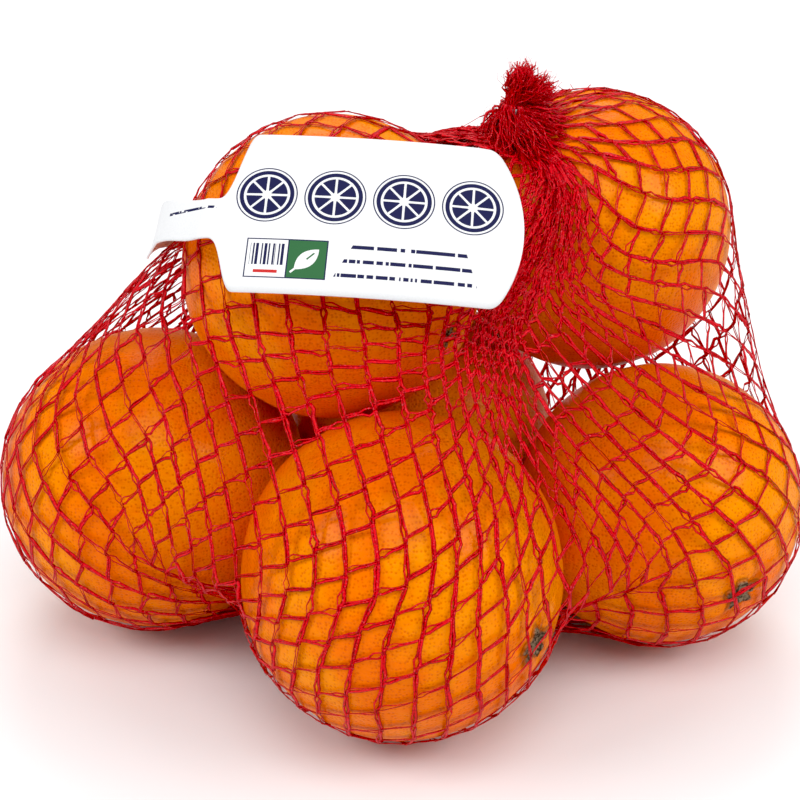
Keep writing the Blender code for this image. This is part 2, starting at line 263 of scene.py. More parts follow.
def paint(red, green, blue):
    """A display colour of 0 to 255 as the linear colour that shaders use."""
    def linear(part):
        part /= 255
        return part / 12.92 if part <= 0.04045 else ((part + 0.055) / 1.055) ** 2.4
    return linear(red), linear(green), linear(blue)


print("an orange in linear light:", [round(part, 3) for part in paint(240, 130, 5)])

# %% [markdown]
# ## Studio
# Produce is shot on a bright sweep inside soft light, so the outer sides of the oranges are
# lit from all round and only the hollows between them go dark. A pale floor that reaches
# far past the pack, a bright world, a large soft lamp on each side and softer ones above
# and behind give that. The grade's small black level deepens the hollows.

# %% Floor, world and lamps
def soft_lamp(name, spot, size, power):
    lamp = bpy.data.objects.new(name, bpy.data.lights.new(name, "AREA"))
    bpy.context.scene.collection.objects.link(lamp)
    lamp.data.shape = "DISK"
    lamp.data.size = size
    lamp.data.energy = power
    lamp.location = spot
    lamp.rotation_euler = (look_at - Vector(spot)).to_track_quat("-Z", "Y").to_euler()


FLOOR_RADIUS = 6.0
WORLD_STRENGTH = 0.42
BLACK_LEVEL = 0.006
bpy.ops.mesh.primitive_circle_add(vertices=96, radius=FLOOR_RADIUS, fill_type="NGON")
floor = bpy.context.object
floor.name = "floor"
sweep = Finish("pale_sweep", Base_Color=(0.92, 0.92, 0.93), Roughness=0.9)
floor.data.materials.append(sweep.material)

world = bpy.data.worlds.new("studio")
bpy.context.scene.world = world
world.use_nodes = True
backdrop = world.node_tree.nodes["Background"].inputs
backdrop["Color"].default_value = (1.0, 1.0, 1.0, 1.0)
backdrop["Strength"].default_value = WORLD_STRENGTH
soft_lamp("lamp_left", (-1.60, -0.60, 1.45), size=1.00, power=16.0)
soft_lamp("lamp_right", (1.60, -0.70, 1.40), size=1.00, power=16.0)
soft_lamp("lamp_top", (0.10, -1.10, 2.30), size=1.60, power=23.0)
soft_lamp("lamp_back", (0.00, 1.80, 2.00), size=1.50, power=22.0)
viewing = bpy.context.scene.view_settings
viewing.view_transform = "Standard"
viewing.look = "None"
viewing.use_curve_mapping = True
viewing.curve_mapping.black_level = (BLACK_LEVEL, BLACK_LEVEL, BLACK_LEVEL)
viewing.curve_mapping.update()
print("studio: pale floor, bright world, four soft lamps")

# %% [markdown]
# ## Peel
# Orange peel is thin wax over thousands of oil glands. Each gland shows as a small, darker
# pit, and the skin swells a little between the pits. Colour drifts from yellow-orange to
# red-orange over a few centimetres, with the odd brown scuff. A cell pattern at the glands'
# own spacing gives both the pits' colour and their depth, and a clear coat gives the waxy
# shine. The woody scar where the stalk was is marked on the mesh, so the finish only has to
# colour it.

# %% Peel finish
GLAND_SPACING = 0.95 * MM
PIT_DEPTH = 0.09 * MM
DIMPLE_DEPTH = 0.30 * MM
BARK_DEPTH = 0.5 * MM
RED_ORANGE, YELLOW_ORANGE, PIT_ORANGE = paint(242, 114, 0), paint(246, 144, 0), paint(204, 72, 0)
SCUFF_BROWN, RIM_BROWN = paint(150, 92, 40), paint(120, 66, 14)
DARK_BARK, PALE_BARK = paint(64, 46, 34), paint(142, 122, 98)


def peel_finish():
    peel = Finish("orange_peel", Coat_Roughness=0.17, Specular_IOR_Level=0.05)
    spot = peel.place()
    drift = peel.cloud(spot, 34 * MM, detail=3.0)
    mottle = peel.cloud(spot, 5 * MM, detail=3.0)
    gland = peel.node("TexVoronoi", {"feature": "F1"},
                      {"Vector": spot, "Scale": 1 / GLAND_SPACING, "Randomness": 0.6})
    pit = 1 - peel.step(gland, 0.14, 0.46)
    dome = peel.step(gland, 0.20, 0.75)
    skin = peel.tint(peel.step(drift + (mottle - 0.5) * 0.25, 0.36, 0.64),
                     RED_ORANGE, YELLOW_ORANGE)
    skin = peel.tint(pit * 0.46, skin, PIT_ORANGE)
    scuff = peel.step(peel.cloud(spot, 7 * MM, detail=6.0, roughness=0.7), 0.70, 0.76)
    skin = peel.tint(scuff * 0.55, skin, SCUFF_BROWN)
    scar, rim = peel.marked("scar"), peel.marked("scar_rim")
    bark = peel.step(peel.cloud(spot, 0.8 * MM, detail=4.0), 0.38, 0.62)
    skin = peel.tint(scar, skin, peel.tint(bark, DARK_BARK, PALE_BARK))
    skin = peel.tint(rim * 0.7, skin, RIM_BROWN)
    dents = peel.relief(peel.cloud(spot, 2.2 * MM, detail=1.0), DIMPLE_DEPTH, 0.6)
    pores = peel.relief(dome - pit, PIT_DEPTH, 0.75, under=dents)
    rough_bark = peel.relief(peel.cloud(spot, 0.5 * MM, detail=3.0) * scar, BARK_DEPTH, 0.8,
                             under=pores)
    peel.feed(Base_Color=skin, Normal=rough_bark, Roughness=0.40 + scar * 0.4 + pit * 0.1,
              Coat_Weight=(1 - scar) * 0.10)
    return peel.material


PEEL = peel_finish()
print("peel:", len(PEEL.node_tree.nodes), "nodes")

# %% [markdown]
# ## Oranges
# An orange is a slightly flattened ball with a dimple at each end, faint ribs that run into
# the stalk's dimple, and broad dents where it grew against its neighbours. A grid of rings
# about the stalk's axis puts fine rings where the stalk's scar needs them and wide ones
# where the peel is plain. A noise made of a few waves shapes the dents, so that each orange
# is its own.

# %% Helpers for meshes built from arrays
def mesh_from_arrays(name, points, quads, **marks):
    """A mesh of four-sided faces, with named values on its points."""
    mesh = bpy.data.meshes.new(name)
    mesh.vertices.add(len(points))
    mesh.vertices.foreach_set("co", np.asarray(points, np.float32).ravel())
    mesh.loops.add(quads.size)
    mesh.loops.foreach_set("vertex_index", quads.astype(np.int32).ravel())
    mesh.polygons.add(len(quads))
    mesh.polygons.foreach_set("loop_start", np.arange(0, quads.size, 4, dtype=np.int32))
    mesh.update(calc_edges=True)
    for mark, values in marks.items():
        layer = mesh.attributes.new(mark, "FLOAT", "POINT")
        layer.data.foreach_set("value", np.asarray(values, np.float32).ravel())
    mesh.polygons.foreach_set("use_smooth", np.ones(len(quads), bool))
    return mesh


def add_piece(mesh, material, node, spot=(0, 0, 0)):
    """Link a piece, give it its finish, and hang it on the pack's one body."""
    piece = bpy.data.objects.new(mesh.name, mesh)
    piece.location = spot
    bpy.context.scene.collection.objects.link(piece)
    mesh.materials.append(material)
    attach(piece, "root")
    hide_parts(node)
    return piece


def waves(directions, rng, count, low, high):
    """Smooth noise of about -1 to 1 over a ball: a sum of plane waves."""
    total = np.zeros(directions.shape[:-1])
    for _ in range(count):
        facing = rng.standard_normal(3)
        facing *= rng.uniform(low, high) / np.linalg.norm(facing)
        total += np.sin(directions @ facing + rng.uniform(0, FULL_TURN))
    return total / math.sqrt(count)


trial_waves = waves(np.eye(3), np.random.default_rng(1), count=10, low=1.5, high=3.5)
print("waves along x, y and z:", trial_waves.round(2))


# %% One orange
RING_COUNT = 104
SCAR_RINGS = 22
SEGMENT_COUNT = 132
POLE_HOLE, FAR_POLE_GAP = 0.05 * MM, 0.002
SCAR_REACH = 6.5 * MM
STALK_DIMPLE, STALK_DIMPLE_RADIUS = 1.3 * MM, 5.5 * MM
BLOSSOM_DIMPLE, BLOSSOM_DIMPLE_RADIUS = 0.6 * MM, 3.0 * MM
DENT_DEPTH = 0.55 * MM
RIPPLE_HEIGHT = 0.10 * MM
FLATTENING = 0.012
RIB_HEIGHT, RIB_PLACE, RIB_SPREAD = 0.22 * MM, 7 * MM, 6 * MM
SCAR_HEIGHT, SCAR_GROOVES, SCAR_BEVEL = 0.9 * MM, 0.7 * MM, 0.5 * MM
RIM_PLACE, RIM_SPREAD = 0.5 * MM, 0.55 * MM


def orange_mesh(name, radius, scar_radius, seed):
    """Rings about the stalk's axis, which is local +Z."""
    rng = np.random.default_rng(seed)
    scar_edge = SCAR_REACH / radius
    fine = np.linspace(POLE_HOLE / radius, scar_edge, SCAR_RINGS)
    wide = np.linspace(scar_edge, math.pi - FAR_POLE_GAP, RING_COUNT - SCAR_RINGS + 1)
    polar = np.concatenate([fine, wide[1:]])[:, None]
    turn = np.linspace(0, FULL_TURN, SEGMENT_COUNT, endpoint=False)[None, :]
    facing = np.stack([np.sin(polar) * np.cos(turn), np.sin(polar) * np.sin(turn),
                       np.cos(polar) * np.ones_like(turn)], axis=-1)
    lobes = 1 + 0.22 * np.cos(5 * turn + rng.uniform(0, 6)) \
        + 0.10 * np.cos(9 * turn + rng.uniform(0, 6))
    outward = polar * radius
    button = np.clip((scar_radius * lobes - outward) / SCAR_BEVEL + 0.5, 0, 1)
    rim = np.exp(-((outward - scar_radius * lobes - RIM_PLACE) / RIM_SPREAD) ** 2)
    ribs = np.cos(9 * turn + 1.5 * np.sin(2 * turn + rng.uniform(0, 6)))
    dents = 0.5 + 0.5 * waves(facing, rng, count=10, low=1.5, high=3.5)
    height = (0.10 * MM - DENT_DEPTH * dents
              + RIPPLE_HEIGHT * waves(facing, rng, count=14, low=9, high=22)
              - FLATTENING * radius * np.cos(polar) ** 2
              - STALK_DIMPLE * np.exp(-(outward / STALK_DIMPLE_RADIUS) ** 2)
              - BLOSSOM_DIMPLE * np.exp(-((math.pi - polar) * radius
                                          / BLOSSOM_DIMPLE_RADIUS) ** 2)
              + RIB_HEIGHT * ribs * np.exp(-((outward - RIB_PLACE) / RIB_SPREAD) ** 2)
              + SCAR_HEIGHT * button * (0.7 + 0.3 * np.cos(outward / SCAR_GROOVES)))
    points = facing * (radius + height)[..., None]
    ring = np.arange(RING_COUNT - 1)[:, None] * SEGMENT_COUNT
    step = np.arange(SEGMENT_COUNT)[None, :]
    after = (step + 1) % SEGMENT_COUNT
    quads = np.stack([ring + step, ring + SEGMENT_COUNT + step,
                      ring + SEGMENT_COUNT + after, ring + after], axis=-1).reshape(-1, 4)
    return mesh_from_arrays(name, points.reshape(-1, 3), quads,
                            scar=button * np.ones_like(turn), scar_rim=rim * (1 - button))


print(f"one orange: {RING_COUNT} rings of {SEGMENT_COUNT} points")


# %% Close the poles, and turn each stalk its own way
# Where each stalk points, and the radius of its scar in millimetres.
STALKS = {"front": ((0.79, -0.60, -0.11), 4.5), "right": ((0.46, -0.86, -0.21), 4.3),
          "top_left": ((0.77, -0.59, -0.25), 2.8), "left": ((-0.45, 0.75, -0.30), 2.2),
          "top_right": ((0.35, 0.80, 0.30), 2.4), "back": ((0.30, 0.90, -0.10), 2.0)}


def cap_ends(mesh):
    """Fill the two small rings left open at the poles."""
    last = len(mesh.vertices) - SEGMENT_COUNT
    work = bmesh.new()
    work.from_mesh(mesh)
    work.verts.ensure_lookup_table()
    for start, backwards in ((0, False), (last, True)):
        ring = [work.verts[start + step] for step in range(SEGMENT_COUNT)]
        work.faces.new(ring[::-1] if backwards else ring).smooth = True
    work.to_mesh(mesh)
    work.free()


for seed, (name, radius) in enumerate(SIZES.items()):
    stalk, scar = STALKS[name]
    mesh = orange_mesh("orange_" + name, radius, scar * MM, 40 + seed)
    cap_ends(mesh)
    mesh.transform(Vector(stalk).to_track_quat("Z", "Y").to_matrix().to_4x4())
    add_piece(mesh, PEEL, "filled_net", place[name])
print("oranges: six, of", len(mesh.polygons), "faces each")

# %% [markdown]
# ## The netting's shape
# Knitted netting is a tube of cells whose sides can't stretch but can swing. Pulled along
# its length it closes to a rope, and pushed out from inside it opens to squares. So the
# netting is simulated: the tube starts as a loose wrap, with its columns crowded into the
# hollows where the packer's machine gathered them. Then every side that is longer than it
# may be pulls its two knots together, the oranges and the ground push knots out, and the
# peel's grip slows what slides. The two ends stay in the ties. Last, what is slack on top
# sinks between the two upper oranges, and what is slack near the ground is drawn in between
# the lower ones.

# %% The two ties
NECK_LEAN = np.array(Vector((0.10, 0.02, 1.0)).normalized())
TIE_RADIUS = 2.0 * MM

band_low, band_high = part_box("top_band")
foot_low, foot_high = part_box("bottom_band")
neck = np.array((band_low + band_high) / 2)
top_tie = neck - NECK_LEAN * 0.5 * MM
foot_tie = np.array(((foot_low.x + foot_high.x) / 2, (foot_low.y + foot_high.y) / 2,
                     foot_high.z - 0.5 * MM))
tie_axis = (top_tie - foot_tie) / np.linalg.norm(top_tie - foot_tie)
side_axis = np.cross((0, 1, 0), tie_axis)
side_axis /= np.linalg.norm(side_axis)
depth_axis = np.cross(tie_axis, side_axis)
heap_middle = CENTRES.mean(axis=0)
print("top tie", (top_tie / MM).round(1), "bottom tie", (foot_tie / MM).round(1), "mm")

# %% The loose wrap that the netting starts from
COLUMNS, ROWS = 82, 44
# Where columns crowd: heading round the ties' axis, weight, sharpness, angle down from the
# top tie and how far to each side of it. All angles are in degrees.
HOLLOWS = ((-75.5, 8.0, 19.3, 25, 42), (142.2, 13.1, 8.0, 25, 45), (35, 1.6, 10, 105, 38),
           (127, 1.6, 10, 112, 38), (-152, 2.2, 12, 150, 26), (-66, 2.2, 12, 150, 26))
TWIST = -0.18
SLANT = -0.32
POLE_STRETCH = -0.078
WRAP_SLACK = 2.3 * MM
HULL_FACINGS = 1500
NECK_BALL = 4 * MM
LEAST_SLOPE = 0.05


def golden_directions(count):
    """Directions spread evenly over a ball, along a spiral of the golden angle."""
    step = np.arange(count) + 0.5
    height = 1 - 2 * step / count
    turn = math.pi * (1 + math.sqrt(5)) * step
    ring = np.sqrt(1 - height ** 2)
    return np.stack([ring * np.cos(turn), ring * np.sin(turn), height], axis=1)


def hull_points(directions):
    """Where rays from the heap's middle leave the tight hull of oranges and neck."""
    facings = golden_directions(HULL_FACINGS)
    balls = np.vstack([CENTRES, neck - NECK_LEAN * 4 * MM])
    reach = np.append(RADII + 1 * MM, NECK_BALL)
    support = ((balls - heap_middle) @ facings.T + reach[:, None]).max(axis=0)
    slope = directions @ facings.T
    facing_out = slope > LEAST_SLOPE
    ray = np.where(facing_out, support / np.maximum(slope, LEAST_SLOPE), np.inf).min(axis=-1)
    return heap_middle + directions * (ray + WRAP_SLACK)[..., None]


def crowded_azimuths(polar, shares):
    """Azimuths of the columns in a row: closer together in the hollows."""
    azimuth = np.linspace(-math.pi, math.pi, 721)
    crowd = np.ones_like(azimuth)
    for heading, weight, sharpness, height, spread in HOLLOWS:
        fade = math.exp(-((polar - math.radians(height)) / math.radians(spread)) ** 2)
        crowd += weight * fade * np.exp(sharpness * (np.cos(azimuth - math.radians(heading)) - 1))
    total = np.concatenate([[0], np.cumsum(crowd[1:] + crowd[:-1])])
    return np.interp(shares, total / total[-1], azimuth)


def loose_wrap():
    rows = []
    for row in range(ROWS + 1):
        polar = math.pi * row / ROWS
        polar += POLE_STRETCH * math.sin(polar)
        shares = (np.arange(COLUMNS) + 0.5 * (row % 2)) / COLUMNS
        turn = crowded_azimuths(polar, shares)
        turn += TWIST * (row / ROWS - 0.5) + SLANT * math.sin(FULL_TURN * row / ROWS)
        ring = np.cos(turn)[:, None] * side_axis + np.sin(turn)[:, None] * depth_axis
        if row in (0, ROWS):
            rows.append((foot_tie if row else top_tie) + TIE_RADIUS * ring)
        else:
            rows.append(hull_points(math.sin(polar) * ring + math.cos(polar) * tie_axis))
    return np.array(rows)


wrap = loose_wrap()
print("loose wrap:", wrap.shape[0] * wrap.shape[1], "knots")


# %% What ties the knots and what pushes them
LINK = 8.75 * MM
LINK_SPREAD = 0.04
START_UNREST = 0.5
SETTLE_PASSES = 3
KNOT_LIFT = 0.6 * MM
FAMILIES = [(parity, side) for parity in (0, 1) for side in (0, 1)]


def unit(vectors):
    return vectors / np.maximum(np.linalg.norm(vectors, axis=-1, keepdims=True), 1e-9)


def partner(rows, parity, side):
    """Roll a row of knots so that each lines up with the one it is tied to."""
    return np.roll(rows, -side if parity else side, axis=1)


def cell_sides(knots, families):
    """Family by family: which it is, and the lines from its upper to its lower knots."""
    for parity, side in families:
        yield parity, side, partner(knots[parity + 1::2], parity, side) - knots[parity:-1:2]


def push_out(points, clearance):
    """Push points out of the oranges, and say which were pushed."""
    pressed = np.zeros(points.shape[:-1], bool)
    for centre, radius in zip(CENTRES, RADII):
        offset = points - centre
        distance = np.linalg.norm(offset, axis=-1)
        inside = distance < radius + clearance
        points[inside] = centre + offset[inside] * ((radius + clearance)
                                                    / distance[inside])[:, None]
        pressed |= inside
    return pressed


def across_row(knots):
    """From each knot's neighbour on one side to its neighbour on the other."""
    return np.roll(knots, -1, axis=1) - np.roll(knots, 1, axis=1)


def meet(knots):
    """Push knots out of the oranges and up off the ground, and say which oranges pushed."""
    pressed = push_out(knots, KNOT_LIFT)
    knots[..., 2] = np.maximum(knots[..., 2], KNOT_LIFT)
    return pressed


tie_free = np.ones((ROWS + 1, 1, 1))
tie_free[0] = tie_free[ROWS] = 0
net_rng = np.random.default_rng(3)
unrest = net_rng.standard_normal((ROWS + 1, COLUMNS, 3)) * START_UNREST * MM * tie_free
longest = {family: LINK * (1 + LINK_SPREAD * net_rng.standard_normal((ROWS // 2, COLUMNS, 1)))
           for family in FAMILIES}


def shorten(knots, slack):
    """Bring together the knots of every side that is longer than it may be."""
    for parity, side, line in cell_sides(knots, FAMILIES):
        length = np.linalg.norm(line, axis=2, keepdims=True)
        over = np.maximum(length - longest[parity, side] * slack, 0) / length
        share = tie_free[parity:-1:2], tie_free[parity + 1::2]
        line *= over / np.maximum(share[0] + share[1], 1)
        knots[parity:-1:2] += share[0] * line
        knots[parity + 1::2] -= partner(share[1] * line, 1 - parity, side)


def settle(knots):
    for _ in range(SETTLE_PASSES):
        shorten(knots, 1.0)
        meet(knots)


print("cell sides:", sum(lengths.size for lengths in longest.values()), "of about", LINK / MM, "mm")


# %% Pull the netting tight
TIGHTEN_STEPS = 260
START_SLACK = 0.12
SLACK_SHARE = 0.6
PEEL_GRIP = 0.26
DRAW_ABOVE, DRAW_BELOW = 0.008, 0.072
DRAW_GROWS_FROM, DRAW_GROWS_OVER = 0.45, 0.3
SIDEWAYS_DRAW = 0.52


def pull_tight(knots):
    """Draw every knot towards its four partners, more so in the lower half."""
    down = (np.arange(ROWS + 1) / ROWS - DRAW_GROWS_FROM) / DRAW_GROWS_OVER
    down = np.clip(down, 0, 1)[:, None, None]
    draw = (DRAW_ABOVE + (DRAW_BELOW - DRAW_ABOVE) * down) * tie_free
    for step in range(TIGHTEN_STEPS):
        before = knots.copy()
        slack = 1 + START_SLACK * max(0, 1 - step / TIGHTEN_STEPS / SLACK_SHARE)
        around = np.zeros_like(knots)
        for parity, side in FAMILIES:
            around[parity:-1:2] += partner(knots[parity + 1::2], parity, side)
            around[parity + 1::2] += partner(knots[parity:-1:2], 1 - parity, side)
        pull = around / np.where(tie_free > 0, 4, 2) - knots
        across = across_row(knots)
        across /= np.linalg.norm(across, axis=2, keepdims=True)
        pull -= (1 - SIDEWAYS_DRAW) * (pull * across).sum(axis=2, keepdims=True) * across
        knots += draw * pull
        for _ in range(SETTLE_PASSES):
            shorten(knots, slack)
            pressed = meet(knots) & (tie_free[..., 0] > 0)
            knots[pressed] -= PEEL_GRIP * (knots - before)[pressed]
            meet(knots)
    return knots


# %% Let what is slack sink in between the oranges
HANG_STEPS, HANG_STEP = 27, 0.4 * MM
HANG_FROM, HANG_GROWS_OVER = 100 * MM, 20 * MM
TUCK_STEPS, TUCK_STEP = 40, 0.6 * MM
TUCK_HEIGHT = 45 * MM


def hang(knots):
    """Let what is slack on top sink into the saddle between the two upper oranges."""
    for _ in range(HANG_STEPS):
        high = np.clip((knots[..., 2] - HANG_FROM) / HANG_GROWS_OVER, 0, 1)
        knots[..., 2] -= HANG_STEP * high * tie_free[..., 0]
        settle(knots)
    return knots


def tuck(knots):
    """Draw what is slack near the ground in between the lower oranges."""
    for _ in range(TUCK_STEPS):
        low = np.clip((TUCK_HEIGHT - knots[..., 2:]) / (0.5 * TUCK_HEIGHT), 0, 1)
        inward = unit((heap_middle - knots) * (1, 1, 0))
        knots += TUCK_STEP * low * tie_free * inward
        settle(knots)
    return knots


knots = tuck(hang(pull_tight(wrap + unrest)))
sides = np.concatenate([line.reshape(-1, 3) for *_, line in cell_sides(knots, FAMILIES)])
print(f"netting: {len(sides)} cell sides, {np.linalg.norm(sides, axis=1).mean() / MM:.1f} mm long")

# %% [markdown]
# ## The netting's threads
# Each side of a cell is knitted from two flat plastic threads that lie side by side and
# part into a small eye near one knot. A knot is a short bar where the threads of four sides
# run together. The sides along one diagonal are heavier, and the bars follow them, so the
# cells read as slanting rows. A thread is built as a thin diamond-section tube along a
# smooth curve from bar to bar, turned a little about itself, and pushed out of the peel.
# Where the card lies over the netting, the threads are pressed in under it. All threads are
# computed as arrays at once and joined into five pieces, one for each belt of rows, because
# there are over fourteen thousand of them.

# %% Which way is down the tube, and which way is out of it
HEAVY_FAMILIES = [(0, 0), (1, 1)]


def thread_way(knots, families):
    """The way that the given families of cell sides run through each knot."""
    way = np.zeros_like(knots)
    for parity, side, line in cell_sides(knots, families):
        way[parity:-1:2] += line
        way[parity + 1::2] += partner(line, 1 - parity, side)
    return unit(way)


def knot_directions(knots):
    """Down the tube, and out of it, at each knot."""
    down = thread_way(knots, FAMILIES)
    return down, unit(np.cross(down, across_row(knots)))


trial_out = knot_directions(knots)[1]
print(f"knots facing out: {((trial_out * (knots - heap_middle)).sum(axis=2) > 0).mean():.0%}")


# %% Crumple the crowded columns
CROWDED_WIDTH = 9 * MM
FOLD_DEPTH = 2.6 * MM
SLIP = 1.5 * MM


def slow_down_the_tube(coarse):
    """Spread a few values for each column smoothly over all of its rows."""
    rows = np.arange(ROWS + 1)
    marks = np.linspace(0, ROWS, len(coarse))
    return np.stack([np.interp(rows, marks, column) for column in coarse.T], axis=1)


def crumple(knots):
    """Where columns crowd, fold them in behind each other and slip them down the tube."""
    rng = np.random.default_rng(5)
    width = np.linalg.norm(across_row(knots), axis=2)
    crowd = (np.clip(1 - width / CROWDED_WIDTH, 0, 1) * tie_free[..., 0])[..., None]
    down, out = knot_directions(knots)
    fold = slow_down_the_tube(rng.uniform(-1, 0.1, (10, COLUMNS)))[..., None]
    slip = slow_down_the_tube(rng.normal(0, 1, (6, COLUMNS)))[..., None]
    knots = knots + crowd * (FOLD_DEPTH * fold * out + SLIP * slip * down)
    meet(knots)
    return knots


def furthest(moved):
    return f"{np.linalg.norm(moved, axis=-1).max() / MM:.1f} mm"


crumpled = crumple(knots)
print("crumpling moves a knot by up to", furthest(crumpled - knots))


# %% Press the netting in under the card
CARD = 0.6 * MM
TAG_GAP = 0.5 * MM
PRESS_REACH = 12 * MM


def solid_tree(node):
    """A packed solid in a form that finds near points and where rays meet it."""
    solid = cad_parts[node].data
    return BVHTree.FromPolygons([vertex.co for vertex in solid.vertices],
                                [face.vertices for face in solid.polygons])


tag_tree = solid_tree("tag")
tag_corners = np.array(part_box("tag"))


def press_under_tag(points):
    """Move what lies over the card or its strap in to just under it."""
    flat = points.reshape(-1, 3)
    near = (flat > tag_corners[0] - PRESS_REACH) & (flat < tag_corners[1] + PRESS_REACH)
    for index in np.flatnonzero(near.all(axis=1)):
        spot = Vector(flat[index])
        inward = (Vector(heap_middle) - spot).normalized()
        hit = tag_tree.ray_cast(spot - inward * (CARD + TAG_GAP), inward, PRESS_REACH)[0]
        if hit is not None:
            flat[index] = hit + inward * (CARD + TAG_GAP)


knots = crumpled.copy()
press_under_tag(knots)
print("pressing moves a knot by up to", furthest(knots - crumpled))

# %% Cell sides as lists of ends and directions
HALF_BAR = 0.6 * MM
BAR_TURN = 0.2
HEAVY_WEIGHT, LIGHT_WEIGHT = 1.20, 1.05
out = knot_directions(knots)[1]
heavy_way = thread_way(knots, HEAVY_FAMILIES)


def side_table(first_row, last_row):
    """Start, end, tip and directions of every cell side whose upper knot is in the belt."""
    batches = []
    for parity, side in FAMILIES:
        uppers = np.arange(parity, ROWS, 2)
        kept = (uppers >= first_row) & (uppers < last_row)
        upper = {"spot": knots, "down": heavy_way, "out": out}
        lower = {key: partner(rows[parity + 1::2], parity, side)[kept].reshape(-1, 3)
                 for key, rows in upper.items()}
        upper = {key: rows[parity:-1:2][kept].reshape(-1, 3) for key, rows in upper.items()}
        length = np.linalg.norm(lower["spot"] - upper["spot"], axis=1, keepdims=True)
        bar = np.minimum(HALF_BAR, 0.2 * length)
        start, end = upper["spot"] + bar * upper["down"], lower["spot"] - bar * lower["down"]
        heading = unit(end - start)
        weight = HEAVY_WEIGHT if (parity, side) in HEAVY_FAMILIES else LIGHT_WEIGHT
        batches.append({"start": start, "end": end, "tip": lower["spot"] + bar * lower["down"],
                        "lead": unit(BAR_TURN * upper["down"] + heading) * length,
                        "follow": unit(BAR_TURN * lower["down"] + heading) * length,
                        "out_a": upper["out"], "out_b": lower["out"],
                        "weight": np.full((len(start), 1), weight)})
    return {key: np.concatenate([batch[key] for batch in batches]) for key in batches[0]}


top_row = side_table(0, 1)
print("cell sides in the top row:", len(top_row["start"]))


# %% A thread as a tube of diamond section
def thread_points(path, outward, half_width, half_depth):
    """Four corners round every point of every path: side, outer, side, inner."""
    along = unit(np.gradient(path, axis=1))
    across = unit(np.cross(outward, along))
    face = np.cross(along, across)
    across, face = across * half_width[..., None], face * half_depth[..., None]
    return np.stack([path + across, path + face, path - across, path - face], axis=2)


def thread_quads(threads, stations):
    """Walls and end caps of tubes whose corners are listed station by station."""
    first = np.arange(threads)[:, None, None] * stations * 4
    station = np.arange(stations - 1)[None, :, None] * 4
    corner = np.arange(4)[None, None, :]
    after = (corner + 1) % 4
    here = first + station
    walls = np.stack([here + corner, here + corner + 4, here + after + 4, here + after], axis=-1)
    root = first[:, 0] + np.array([0, 1, 2, 3])
    tip = first[:, 0] + (stations - 1) * 4 + np.array([3, 2, 1, 0])
    return np.concatenate([walls.reshape(-1, 4), root, tip])


class Threads:
    """Tubes gathered from several batches, which become one mesh."""

    def __init__(self):
        self.points, self.quads, self.edge, self.shade, self.count = [], [], [], [], 0

    def add(self, path, outward, half_width, half_depth, rng):
        """Add a batch of threads, each with a random shade of its own."""
        threads, stations = path.shape[:2]
        half_width, half_depth = (np.broadcast_to(half, path.shape[:2])
                                  for half in (half_width, half_depth))
        corners = thread_points(path, outward, half_width, half_depth)
        self.quads.append(thread_quads(threads, stations) + self.count)
        self.points.append(corners.reshape(-1, 3))
        # The side corners carry 1, where the finish paints shade along the thread's edges.
        self.edge.append(np.tile([1.0, 0.0, 1.0, 0.0], threads * stations))
        self.shade.append(np.repeat(rng.random(threads), stations * 4))
        self.count += threads * stations * 4

    def mesh(self, name):
        return mesh_from_arrays(name, np.concatenate(self.points), np.concatenate(self.quads),
                                edge=np.concatenate(self.edge),
                                shade=np.concatenate(self.shade))


print("a thread with 7 stations has", len(thread_quads(1, 7)), "faces")


# %% Curves from knot to knot
def curve_between(table, steps):
    """A smooth path from bar to bar, then down the next knot's bar."""
    t = np.linspace(0, 1, steps)[None, :, None]
    start, end, lead, follow = (table[key][:, None, :]
                                for key in ("start", "end", "lead", "follow"))
    path = ((2 * t ** 3 - 3 * t ** 2 + 1) * start + (t ** 3 - 2 * t ** 2 + t) * lead
            + (3 * t ** 2 - 2 * t ** 3) * end + (t ** 3 - t ** 2) * follow)
    path = np.concatenate([path, table["tip"][:, None, :]], axis=1)
    outward = unit(table["out_a"][:, None, :] * (1 - t) + table["out_b"][:, None, :] * t)
    return path, np.concatenate([outward, outward[:, -1:]], axis=1)


top_paths = curve_between(top_row, 6)[0]
print("paths in the top row:", len(top_paths), "of", top_paths.shape[1], "points")


# %% Knit the two threads of a side
WIDE_THREAD = 0.84 * MM
FINE_THREAD = 0.48 * MM
THREAD_DEPTH = 0.24 * MM
THREAD_CLEARANCE = 0.42 * MM
PAIR_GAP = 0.20 * MM
EYE_OPENING = 0.75 * MM
EYE_PLACES = 0.2, 0.78
WOBBLE = 0.07 * MM
FINE_LIFT = 0.10 * MM


def knit(table, rng):
    """The two threads of every cell side."""
    threads = Threads()
    count = len(table["start"])
    eye_at = np.where(rng.random((count, 1)) < 0.5, *EYE_PLACES)
    eye = rng.uniform(0.0, 1.0, (count, 1)) * EYE_OPENING
    turn = rng.normal(0, 0.35, (count, 1))
    for width, steps, way in ((WIDE_THREAD, 6, 1), (FINE_THREAD, 5, -1)):
        path, outward = curve_between(table, steps)
        share = np.append(np.linspace(0, 1, steps), 1.1)[None, :]
        along = unit(np.gradient(path, axis=1))
        across = np.cross(outward, along)
        opening = PAIR_GAP * table["weight"] + eye * np.exp(-((share - eye_at) / 0.16) ** 2)
        path = path + way * opening[..., None] * across
        path += rng.normal(0, 1, path.shape) * WOBBLE
        path += (way < 0) * FINE_LIFT * outward
        press_under_tag(path)
        push_out(path, THREAD_CLEARANCE)
        path[..., 2] = np.maximum(path[..., 2], THREAD_DEPTH)
        swing = turn + rng.normal(0, 0.4, (count, 1)) * share
        tilted = outward * np.cos(swing)[..., None] + across * np.sin(swing)[..., None]
        half = width / 2 * table["weight"] * rng.uniform(0.8, 1.2, (count, 1))
        threads.add(path, tilted, half * (1 - 0.15 * np.abs(2 * share - 1)),
                    THREAD_DEPTH / 2, rng)
    return threads


